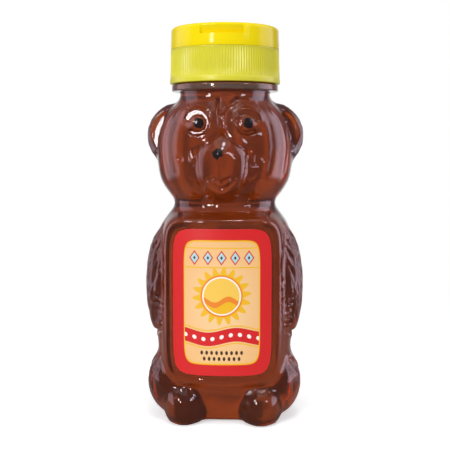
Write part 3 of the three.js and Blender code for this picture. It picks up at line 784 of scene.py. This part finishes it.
def thread(name, root, crest, start_height, start_turn, turns):
    foot = root + math.copysign(THREAD_SINK, root - crest)
    section = [(foot, -THREAD_FOOT), (crest, -THREAD_TOP), (crest, THREAD_TOP), (foot, THREAD_FOOT)]
    bpy.ops.mesh.primitive_circle_add(vertices=len(section), radius=MM)
    ridge = just_added(name)
    angle = 2 * math.pi * start_turn
    for vertex, (radius, offset) in zip(ridge.data.vertices, section):
        vertex.co = Vector((radius * math.cos(angle), radius * math.sin(angle), start_height + offset)) * MM
    steps = round(STEPS_PER_TURN * turns)
    finish_with(ridge, "SCREW", angle=2 * math.pi * turns, screw_offset=THREAD_PITCH * turns * MM,
                steps=steps, render_steps=steps, use_merge_vertices=False)
    points = points_of(ridge)
    rows = np.arange(len(points)) // len(section)
    fade = np.clip((np.minimum(rows, rows.max() - rows) + 1) / FADE_STEPS, 0, 1)
    radii = np.hypot(points[:, 0], points[:, 1])
    points[:, :2] *= ((foot + fade * (radii - foot)) / radii)[:, None]
    move_points(ridge, points)
    edit_all(ridge)
    bpy.ops.mesh.fill_holes(sides=0)
    bpy.ops.mesh.normals_make_consistent(inside=False)
    leave_edit()
    return ridge


neck_thread = thread("neck_thread", FINISH_RADIUS, THREAD_CREST, THREAD_START, 0, THREAD_TURNS)
report(neck_thread)


# %% Bridge skin, neck and inner wall
def bridge_between(piece, low, high):
    edit(piece)
    select_where("edges", lambda edge: edge.is_boundary and all(
        low * MM < vertex.co.z < high * MM for vertex in edge.verts))
    bpy.ops.mesh.bridge_edge_loops()
    leave_edit()


cut_above(bear, RING_BOTTOM - 1, fill=False)
cut_above(inner, SHOULDER_HEIGHT - 1.5, fill=False)
bottle = join("clear_bottle", bear, neck, inner)
bridge_between(bottle, RING_BOTTOM - 1.2, RING_BOTTOM)
bridge_between(bottle, SHOULDER_HEIGHT - 2, SHOULDER_HEIGHT + 1)
face_outwards(bottle)
shade_smooth(bottle, 50)
shade_smooth(neck_thread, 30)
bottle = join("clear_bottle", bottle, neck_thread)
report(bottle)

# %% [markdown]
# ## Honey
# The honey touches the wall everywhere. If its surface lay exactly on the wall, the two would flicker, and
# with a gap light would be mirrored in it and lay a grey veil over the honey. So its surface lies inside
# the plastic, by half of the wall. Its top is drawn down inside a narrow rim, as a liquid climbs the wall
# that it wets.

# %% Fit the honey to the bore, shape its top
RIM_STEPS = ((0.5, 0.45), (0.8, 0.25), (1.2, 0.1))  # each: how far in, and how far down
points = points_of(honey)
radii = np.hypot(points[:, 0], points[:, 1])
in_neck = smooth_step(SHOULDER_HEIGHT - 1, SHOULDER_HEIGHT + 1, points[:, 2])
limit = np.minimum(radii, BORE_RADIUS + OVERLAP)
points[:, :2] *= (1 + in_neck * (limit / np.maximum(radii, 1e-6) - 1))[:, None]
move_points(honey, points)
edit(honey)
select_where("faces", lambda face: face.normal.z > 0.9
             and face.calc_center_median().z > (FILL_HEIGHT - 0.5) * MM)
for inset, drop in RIM_STEPS:
    bpy.ops.mesh.inset(thickness=inset * MM, depth=-drop * MM)
leave_edit()
shade_smooth(honey, 50)
report(honey)

# %% [markdown]
# ## Painted dots
# The pupils and the nose are printed on the plastic and are worn at their edges. Each is a small disc with
# a ragged outline, laid onto the skin by a Shrinkwrap modifier and given the thickness of a film of paint.

# %% Dots
DOT_RADIUS, PAINT_THICKNESS = 1.75, 0.16


def painted_dot(name, x, z, ragged, seed):
    rough = np.random.default_rng(seed)
    bpy.ops.mesh.primitive_circle_add(
        vertices=48, radius=DOT_RADIUS * MM, fill_type="TRIFAN", rotation=(math.pi / 2, 0, 0),
        location=(x * MM, -40 * MM, z * MM))
    dot = just_added(name)
    edit_all(dot)
    bpy.ops.mesh.subdivide(number_cuts=6)
    leave_edit()
    points = points_of(dot)
    across, up = points[:, 0] - x, points[:, 2] - z
    turns, gaps = np.arctan2(up, across), np.hypot(up, across) / DOT_RADIUS
    waves = sum(rough.uniform(-1, 1) * np.sin(order * turns + rough.uniform(0, 6.3)) for order in range(2, 9))
    spread = 1 + ragged * waves * gaps**2 / 3
    points[:, 0] = x + across * spread
    points[:, 2] = z + up * spread
    move_points(dot, points)
    finish_with(dot, "SHRINKWRAP", target=bottle, wrap_method="PROJECT", use_project_y=True,
                use_positive_direction=True, use_negative_direction=True, offset=0)
    finish_with(dot, "SOLIDIFY", thickness=PAINT_THICKNESS * MM, offset=0.6)
    face_outwards(dot)
    shade_smooth(dot, 40)
    report(dot)
    return dot


dots = {
    "left_pupil": painted_dot("left_pupil_paint", 9.4, 110, 0.16, 3),
    "right_pupil": painted_dot("right_pupil_paint", -8.2, 110, 0.12, 5),
    "nose_dot": painted_dot("nose_paint", -1.2, 99.2, 0.3, 11),
}

# %% [markdown]
# ## Label
# The label is a thin film with a rounded outline that lies in the panel's recess. A grid is squeezed into
# the outline, bent onto the same bow as the panel and thickened. Its print is drawn by its material.

# %% Label film
LABEL_THICKNESS, LABEL_LIFT = 0.25, 0.1
label_back = PANEL_BOW - PANEL_RECESS + LABEL_LIFT
bpy.ops.mesh.primitive_grid_add(
    x_subdivisions=48, y_subdivisions=72, size=2 * MM, rotation=(math.pi / 2, 0, 0))
label = just_added("label_film")
points = points_of(label)
x, y, z = points.T
square = np.maximum(np.abs(x), np.abs(z))
rounding = square / np.maximum(outline_share(x, z, 1, 1), 1e-9)
x *= rounding * LABEL_WIDTH / 2
z[:] = z * rounding * LABEL_HEIGHT / 2 + LABEL_MIDDLE
y[:] = PANEL_AXIS - np.sqrt(label_back**2 - x**2)
move_points(label, points)
finish_with(label, "SOLIDIFY", thickness=LABEL_THICKNESS * MM, offset=1)
shade_smooth(label, 40)
report(label)

# %% [markdown]
# ## Screw cap
# The cap's skirt has fine upright ribs for grip over a smooth bead, and inside it the deck carries a low
# spout. It is turned from one closed profile. The ribs could be an array of small bars, but they are part
# of the wall, so the wall's own points are drawn in between the ribs.

# %% Cap
CAP_BORE, SKIRT_BOTTOM, SKIRT_RADIUS, CAP_RADIUS = 19.0, 125.0, 20.75, 20.3
RIM_HEIGHT, DECK_TOP, DECK_BOTTOM = 137.6, 137.4, 136.0
BEAD_TOP, RIBS_BOTTOM, RIBS_TOP = 127.0, 127.5, 137.1
CATCH_RADIUS, CATCH_TOP, CATCH_WALL = 18.7, 139.4, 1.1
SPOUT_TOP, SPOUT_FOOT, SPOUT_RADIUS, ORIFICE = 142.0, 5.2, 4.4, 3.4
RIB_COUNT, RIB_DEPTH, STEPS_PER_RIB = 132, 0.3, 6


def skirt_wall(height):
    """The radius of the skirt, which narrows from the bead to the rim."""
    return CAP_RADIUS + (SKIRT_RADIUS - 0.2 - CAP_RADIUS) * (RIM_HEIGHT - height) / (RIM_HEIGHT - BEAD_TOP)


cap = turned("screw_cap", [
    (CAP_BORE, SKIRT_BOTTOM),
    *corner(SKIRT_RADIUS - 0.4, SKIRT_BOTTOM + 0.4, 0.4, -90, 0),
    *corner(SKIRT_RADIUS - 0.3, BEAD_TOP - 0.4, 0.3, 0, 70),
    (SKIRT_RADIUS - 0.2, BEAD_TOP + 0.05),
    *[(skirt_wall(height), height) for height in np.linspace(RIBS_BOTTOM, RIBS_TOP, 5)],
    (CAP_RADIUS, RIM_HEIGHT - 0.3),
    *corner(CAP_RADIUS - 0.1, RIM_HEIGHT - 0.1, 0.1, 0, 90),
    (CATCH_RADIUS, RIM_HEIGHT),
    *corner(CATCH_RADIUS - 0.3, CATCH_TOP - 0.3, 0.3, 0, 90, 4),
    (CATCH_RADIUS - CATCH_WALL, CATCH_TOP),
    (CATCH_RADIUS - CATCH_WALL, DECK_TOP),
    *corner(SPOUT_FOOT + 0.5, DECK_TOP + 0.5, 0.5, 270, 190, 4),
    *corner(SPOUT_RADIUS - 0.2, SPOUT_TOP - 0.2, 0.2, 10, 90, 4),
    (ORIFICE + 0.2, SPOUT_TOP),
    (ORIFICE, SPOUT_TOP - 0.2),
    (ORIFICE, DECK_BOTTOM),
    (CAP_BORE, DECK_BOTTOM),
], RIB_COUNT * STEPS_PER_RIB, closed=True)
points = points_of(cap)
x, y, z = points.T
radii = np.hypot(x, y)
ribbed = (radii > CAP_RADIUS - 0.3) & (z > RIBS_BOTTOM - 0.2) & (z < RIBS_TOP + 0.1)
groove = 0.5 - 0.5 * np.cos(RIB_COUNT * np.arctan2(y, x))
points[:, :2] *= (1 - ribbed * RIB_DEPTH * groove / np.maximum(radii, 1))[:, None]
move_points(cap, points)
report(cap)

# %% Cap thread, and the pad that the hinge grows from
PAD_WIDTH, PAD_HEIGHT, PAD_FACE, PAD_BACK = 12, 3, 20.8, 19.3
CAP_THREAD_TURNS, CAP_THREAD_DEPTH, THREAD_DROP = 1, 1.15, 1.6
thread_lag = THREAD_TURNS - CAP_THREAD_TURNS


def block(name, width, back, face, bottom, top, bevel, segments):
    bpy.ops.mesh.primitive_cube_add(
        size=1, location=(0, (face + back) / 2 * MM, (bottom + top) / 2 * MM),
        scale=(width * MM, (face - back) * MM, (top - bottom) * MM))
    bar = just_added(name)
    finish_with(bar, "BEVEL", width=bevel * MM, segments=segments)
    return bar


def hinge_pad(name, bottom):
    return block(name, PAD_WIDTH, PAD_BACK, PAD_FACE, bottom, bottom + PAD_HEIGHT, 0.35, 3)


cap_thread = thread("cap_thread", CAP_BORE, CAP_BORE - CAP_THREAD_DEPTH,
                    THREAD_START + THREAD_PITCH * thread_lag - THREAD_DROP, thread_lag, CAP_THREAD_TURNS)
cap = join("screw_cap", cap, cap_thread, hinge_pad("cap_pad", RIM_HEIGHT - PAD_HEIGHT))
shade_smooth(cap, 32)
report(cap)

# %% [markdown]
# ## Flip lid
# The lid is a smooth shallow cover with a plug inside that shuts the spout. At the front a thumb recess
# slopes in from the top edge and ends on a small ledge. The wall has close rows of points there, and those
# in the recess are drawn in.

# %% Lid
LID_BOTTOM, LID_TOP, LID_RADIUS, LID_EDGE, LID_TAPER = 137.66, 146.0, 20.35, 1.5, 0.15
THUMB_LEDGE, THUMB_TOP, THUMB_HALF, THUMB_DEPTH = 141.9, 145.5, 8.05, 1.8
LID_CEILING, CEILING_RADIUS, LID_BORE = 144.2, 17.6, 19.0
PLUG_RADIUS, PLUG_BOTTOM, CATCH_CLEARANCE = 2.9, 139.4, 0.3
wall_top = LID_TOP - 0.3 - LID_EDGE
thumb_rows = np.concatenate([[141.5, THUMB_LEDGE - 0.03], np.arange(THUMB_LEDGE + 0.03, 143.9, 0.22)])
lid = turned("flip_lid_cover", [
    (0, PLUG_BOTTOM),
    (PLUG_RADIUS - 0.8, PLUG_BOTTOM),
    (PLUG_RADIUS - 0.4, PLUG_BOTTOM + 0.3),
    (PLUG_RADIUS, SPOUT_TOP),
    (PLUG_RADIUS, LID_CEILING),
    (CEILING_RADIUS, LID_CEILING),
    (CEILING_RADIUS, CATCH_TOP + CATCH_CLEARANCE),
    (LID_BORE, CATCH_TOP + CATCH_CLEARANCE),
    (LID_BORE, LID_BOTTOM),
    *corner(LID_RADIUS - 0.1, LID_BOTTOM + 0.1, 0.1, -90, 0, 4),
    (LID_RADIUS, 139.8),
    *[(LID_RADIUS - LID_TAPER * (height - LID_BOTTOM) / 6.3, height) for height in thumb_rows],
    *corner(LID_RADIUS - LID_TAPER - LID_EDGE, wall_top, LID_EDGE, 0, 90, 9),
    (14, 145.85),
    (7, 145.97),
    (0, LID_TOP),
], 320)
points = points_of(lid)
x, y, z = points.T
radii = np.hypot(x, y)
outside = (radii > LID_BORE + 0.2) | (z > LID_TOP - 0.4)
slope = np.clip((THUMB_TOP - z) / (THUMB_TOP - THUMB_LEDGE), 0, 1)
in_thumb = (z > THUMB_LEDGE) & (y < 0) & outside & (radii > 17)
y += in_thumb * smooth_step(0, 0.5, THUMB_HALF - np.abs(x)) * THUMB_DEPTH * slope
move_points(lid, points)
lid = join("flip_lid_cover", lid, hinge_pad("lid_pad", LID_BOTTOM))
shade_smooth(lid, 32)
report(lid)

# %% [markdown]
# ## Living hinge
# A thin strap at the back joins lid and cap. It is a flat bar with many cuts along its length and a thinned
# waist, so that it can bend: the end on the cap follows the cap, the end on the lid follows the lid, and
# the waist turns between them.

# %% Strap
FOLD_HEIGHT, FOLD_DEPTH = 137.75, 21.2
STRAP_WIDTH, STRAP_HALF, STRAP_FACE, STRAP_BACK = 10, 2.75, 21.4, 20.72
WAIST_REACH, WAIST_INSIDE, WAIST_OUTSIDE = 0.4, 0.28, -0.1
CUTS_REACH, CUTS = 1.2, 17
strap = block("hinge_strap", STRAP_WIDTH, STRAP_BACK, STRAP_FACE,
              FOLD_HEIGHT - STRAP_HALF, FOLD_HEIGHT + STRAP_HALF, 0.12, 2)
edit(strap)
for height in np.linspace(-CUTS_REACH, CUTS_REACH, CUTS):
    bpy.ops.mesh.select_all(action="SELECT")
    bpy.ops.mesh.bisect(plane_co=(0, 0, (FOLD_HEIGHT + height) * MM), plane_no=(0, 0, 1))
leave_edit()
points = points_of(strap)
_, y, z = points.T
waist = np.exp(-(((z - FOLD_HEIGHT) / WAIST_REACH) ** 2))
y += waist * np.where(y < FOLD_DEPTH, WAIST_INSIDE, WAIST_OUTSIDE)
move_points(strap, points)
shade_smooth(strap, 35)
report(strap)

# %% [markdown]
# ## Materials
# Each material varies a little, as real plastic and paper do. The bottle is clear, and the colour comes
# from the honey behind it, which takes up more light the deeper it is. Plastic and honey bend light by
# nearly the same amount, so light is bent once, at the bottle's outer skin: the faces that the honey wets
# get a material that lets it pass straight on, and so does the honey. The transfer ring is thicker and a
# little cloudy. The label's print is drawn with numbers: each motif is a field over the label that is low
# inside the motif.


# %% Helpers for materials
def print_colour(red, green, blue):
    """A colour as read from a screen, 0 to 255, turned into the linear values that a shader takes."""
    return [((value / 255 + 0.055) / 1.055) ** 2.4 for value in (red, green, blue)]


def bumps(tree, height, distance):
    node = add_node(tree, "ShaderNodeBump", Strength=1.0, Distance=distance * MM, Height=height)
    fill_named(tree, tree.nodes["Principled BSDF"], Normal=node.outputs["Normal"])


def two_tone(name, first, second, waves, edges=None, **settings):
    """A material whose colour drifts between two tones with a noise, or from edge to edge of the noise."""
    material, tree = new_material(name)
    drift = noise(tree, waves)
    if edges:
        drift = drift.ramp(*edges)
    tone = mix_colour(tree, drift, print_colour(*first), print_colour(*second))
    fill_named(tree, tree.nodes["Principled BSDF"], Base_Color=tone, **settings)
    return material, tree


def plastic(name, first, second, roughness, grain, ior=1.5):
    material, tree = two_tone(name, first, second, 60, (0.35, 0.65), Roughness=roughness, IOR=ior)
    bumps(tree, noise(tree, 1500), grain)
    return material


# %% Clear plastic, honey, cap, paint and foam
CLEAR, CREAMY = (255, 255, 255), (255, 253, 249)
ARM_MIDDLE, ARM_HALF, ARM_INSIDE = 53, 20, 22.5
FUR_BUMP, RIPPLE_SHARE = 0.24, 0.05
clear_pet, tree = two_tone(
    "clear_pet", CLEAR, CREAMY, 80, Roughness=0.03, IOR=1.5, Transmission_Weight=1.0)
x, _, z = [field / MM for field in fields_of_place(tree)]
on_arm = ((z - ARM_MIDDLE) / ARM_HALF).size().below(0.9, 0.2) * x.size().above(ARM_INSIDE, 1)
fur = noise(tree, 1100, stretch=(1, 1, 0.22)) * on_arm
bumps(tree, fur + noise(tree, 220) * RIPPLE_SHARE, FUR_BUMP)
wetted_pet, tree = two_tone(
    "wetted_pet", CLEAR, CREAMY, 80, Roughness=0.0, IOR=1.0, Transmission_Weight=1.0)
ring_pet, tree = two_tone(
    "ring_pet", (188, 168, 150), (205, 186, 168), 300, Roughness=0.08, IOR=1.5, Transmission_Weight=0.86)
amber_honey, tree = two_tone(
    "amber_honey", (182, 88, 34), (194, 98, 42), 45, (0.3, 0.7),
    Roughness=0.0, IOR=1.0, Transmission_Weight=0.8)
absorption = add_node(tree, "ShaderNodeVolumeAbsorption", Color=(0.7, 0.5, 0.5), Density=40)
fill_named(tree, tree.nodes["Material Output"], Volume=absorption.outputs["Volume"])
skirt_yellow = plastic("skirt_yellow", (226, 218, 44), (221, 214, 52), 0.33, 0.004)
lid_yellow = plastic("lid_yellow", (250, 226, 6), (247, 221, 10), 0.13, 0.002, ior=1.3)
black_paint = plastic("worn_black_paint", (12, 9, 9), (24, 16, 15), 0.14, 0.004)
foam = plastic("foam_liner", (240, 238, 232), (228, 226, 220), 0.9, 0.05)
print("materials:", [material.name for material in bpy.data.materials])

# %% Label print: motifs
RED, CREAM, PALE = print_colour(221, 26, 28), print_colour(248, 194, 128), print_colour(252, 212, 156)
GOLD, ORANGE, SUN = print_colour(247, 190, 26), print_colour(242, 138, 38), print_colour(251, 205, 84)
SKY, BROWN, WHITE = print_colour(178, 222, 226), print_colour(72, 48, 30), print_colour(255, 250, 240)
label_print, tree = new_material("label_print")
u, y, z = [field / MM for field in fields_of_place(tree)]
v = z - LABEL_MIDDLE
colour = mix_colour(tree, length(u / 13, (v + 2) / 20).below(0.75, 0.7), CREAM, PALE)


def paint(ink, mask):
    global colour
    colour = mix_colour(tree, mask, colour, ink)


SUN_HEIGHT, SUN_RADIUS, SUN_RAYS, RAY_REACH = 2.5, 6.5, 18, 9.3
from_sun = length(u, v - SUN_HEIGHT)
sun_turn = (v - SUN_HEIGHT).apply("ARCTAN2", u)
paint(GOLD, (from_sun - (sun_turn * SUN_RAYS).apply("SINE") * 1.3).below(RAY_REACH))
for ink, radius in ((ORANGE, 7.6), (WHITE, 7.0), (SUN, SUN_RADIUS)):
    paint(ink, from_sun.below(radius))
hills = v - SUN_HEIGHT - (u * 0.62).apply("SINE") * 1.1
for ink, drop in ((ORANGE, 1.2), (GOLD, 3.2)):
    paint(ink, (hills + drop).below(0) * from_sun.below(SUN_RADIUS))

DIAMOND_ROW, DIAMOND_STEP, LINE_HALF = 16.3, 4.9, 0.22
diamonds = (u.repeat(DIAMOND_STEP) / 1.9).size() + ((v - DIAMOND_ROW) / 2.7).size()
paint(GOLD, ((v - DIAMOND_ROW).size() - 3.5).size().below(LINE_HALF))
for ink, share in ((RED, 1.0), (SKY, 0.74), (BROWN, 0.26)):
    paint(ink, diamonds.below(share, 0.03) * u.size().below(12.2))

RIBBON_HEIGHT, RIBBON_HALF, DOT_STEP = -12.4, 2.5, 3.3
from_ribbon = v - RIBBON_HEIGHT - (u * 0.3).apply("SINE") * 0.9
paint(RED, from_ribbon.size().below(RIBBON_HALF))
paint(GOLD, (from_ribbon.size() - 3.2).size().below(LINE_HALF))
paint(WHITE, length(u.repeat(DOT_STEP), from_ribbon).below(0.75))

SEED_ROWS, SEED_STEP = (-18.2, -20.4), 1.8
for index, height in enumerate(SEED_ROWS):
    shift = index * SEED_STEP / 2
    seeds = length((u + shift).repeat(SEED_STEP) / 0.5, (v - height) / 0.75)
    paint(BROWN, seeds.below(1.0, 0.15) * u.size().below(8.1 - shift))

BORDER, FIELD_POWER = 4.0, 9
field_share = ((u / (LABEL_WIDTH / 2 - BORDER)).size() ** FIELD_POWER
               + (v / (LABEL_HEIGHT / 2 - BORDER)).size() ** FIELD_POWER) ** (1 / FIELD_POWER)
paint(GOLD, field_share.above(0.975, 0.006))
paint(RED, field_share.above(1, 0.006))
paint(WHITE, length(u, y - PANEL_AXIS).below(label_back + 0.08, 0.04))
fill_named(tree, tree.nodes["Principled BSDF"], Base_Color=colour, Roughness=0.38, IOR=1.5)
bumps(tree, noise(tree, 900), 0.004)
print("label print:", len(tree.nodes), "nodes")

# %% [markdown]
# ## Put everything in its place
# Each piece now gets its material and the body that it moves with, and the CAD node that it stands for is
# hidden. The bottle has three materials: one for most of it, one for the faces that the honey wets and one
# for the ring. The strap bends between the cap and the lid. The liner keeps its CAD shape, as it is a plain
# disc.

# %% Materials, nodes and bodies
pieces = [
    (bottle, "bottle", "bottle", "clear_pet", clear_pet, wetted_pet, ring_pet),
    (honey, "bottle", "honey", "honey", amber_honey),
    (label, "bottle", "front_label", "label_paper", label_print),
    (cap, "closure", "closure_base", "skirt_yellow", skirt_yellow),
    (lid, "lid", "flip_lid", "lid_yellow", lid_yellow),
    (strap, None, "living_hinge", "lid_yellow", lid_yellow),
]
pieces += [(dot, "bottle", node, "black_paint", black_paint) for node, dot in dots.items()]


def dress(piece, *materials):
    piece.data.materials.clear()
    for material in materials:
        piece.data.materials.append(material)


for piece, body, node, slot, *materials in pieces:
    dress(piece, *materials)
    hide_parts(node)
    if body:
        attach(piece, body)
BEND_HALF = 0.6
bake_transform(strap, "closure", "lid", start=(0, FOLD_DEPTH * MM, (FOLD_HEIGHT - BEND_HALF) * MM),
         end=(0, FOLD_DEPTH * MM, (FOLD_HEIGHT + BEND_HALF) * MM))
dress(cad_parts["seal_liner"], foam)
print("pieces:", [piece.name for piece, *_ in pieces])

# %% Which faces of the bottle have its second and third material
centres = rows_of(bottle.data.polygons, "center") / MM
radii, heights = np.hypot(centres[:, 0], centres[:, 1]), centres[:, 2]
on_inner_wall = np.zeros(len(centres))
bottle.data.attributes["wet"].data.foreach_get("value", on_inner_wall)
in_bore = (radii < BORE_RADIUS + 0.2) & (heights > SHOULDER_HEIGHT - 2)
is_wet = ((on_inner_wall > 0.5) | in_bore) & (heights < RING_BOTTOM)
on_ring = (radii > NECK_RADIUS + 0.3) & (heights > RING_BOTTOM - 0.4) & (heights < RING_TOP + 0.4)
bottle.data.polygons.foreach_set("material_index", np.where(on_ring, 2, is_wet))
print("faces that the honey wets:", int(is_wet.sum()), "and on the ring:", int(on_ring.sum()))
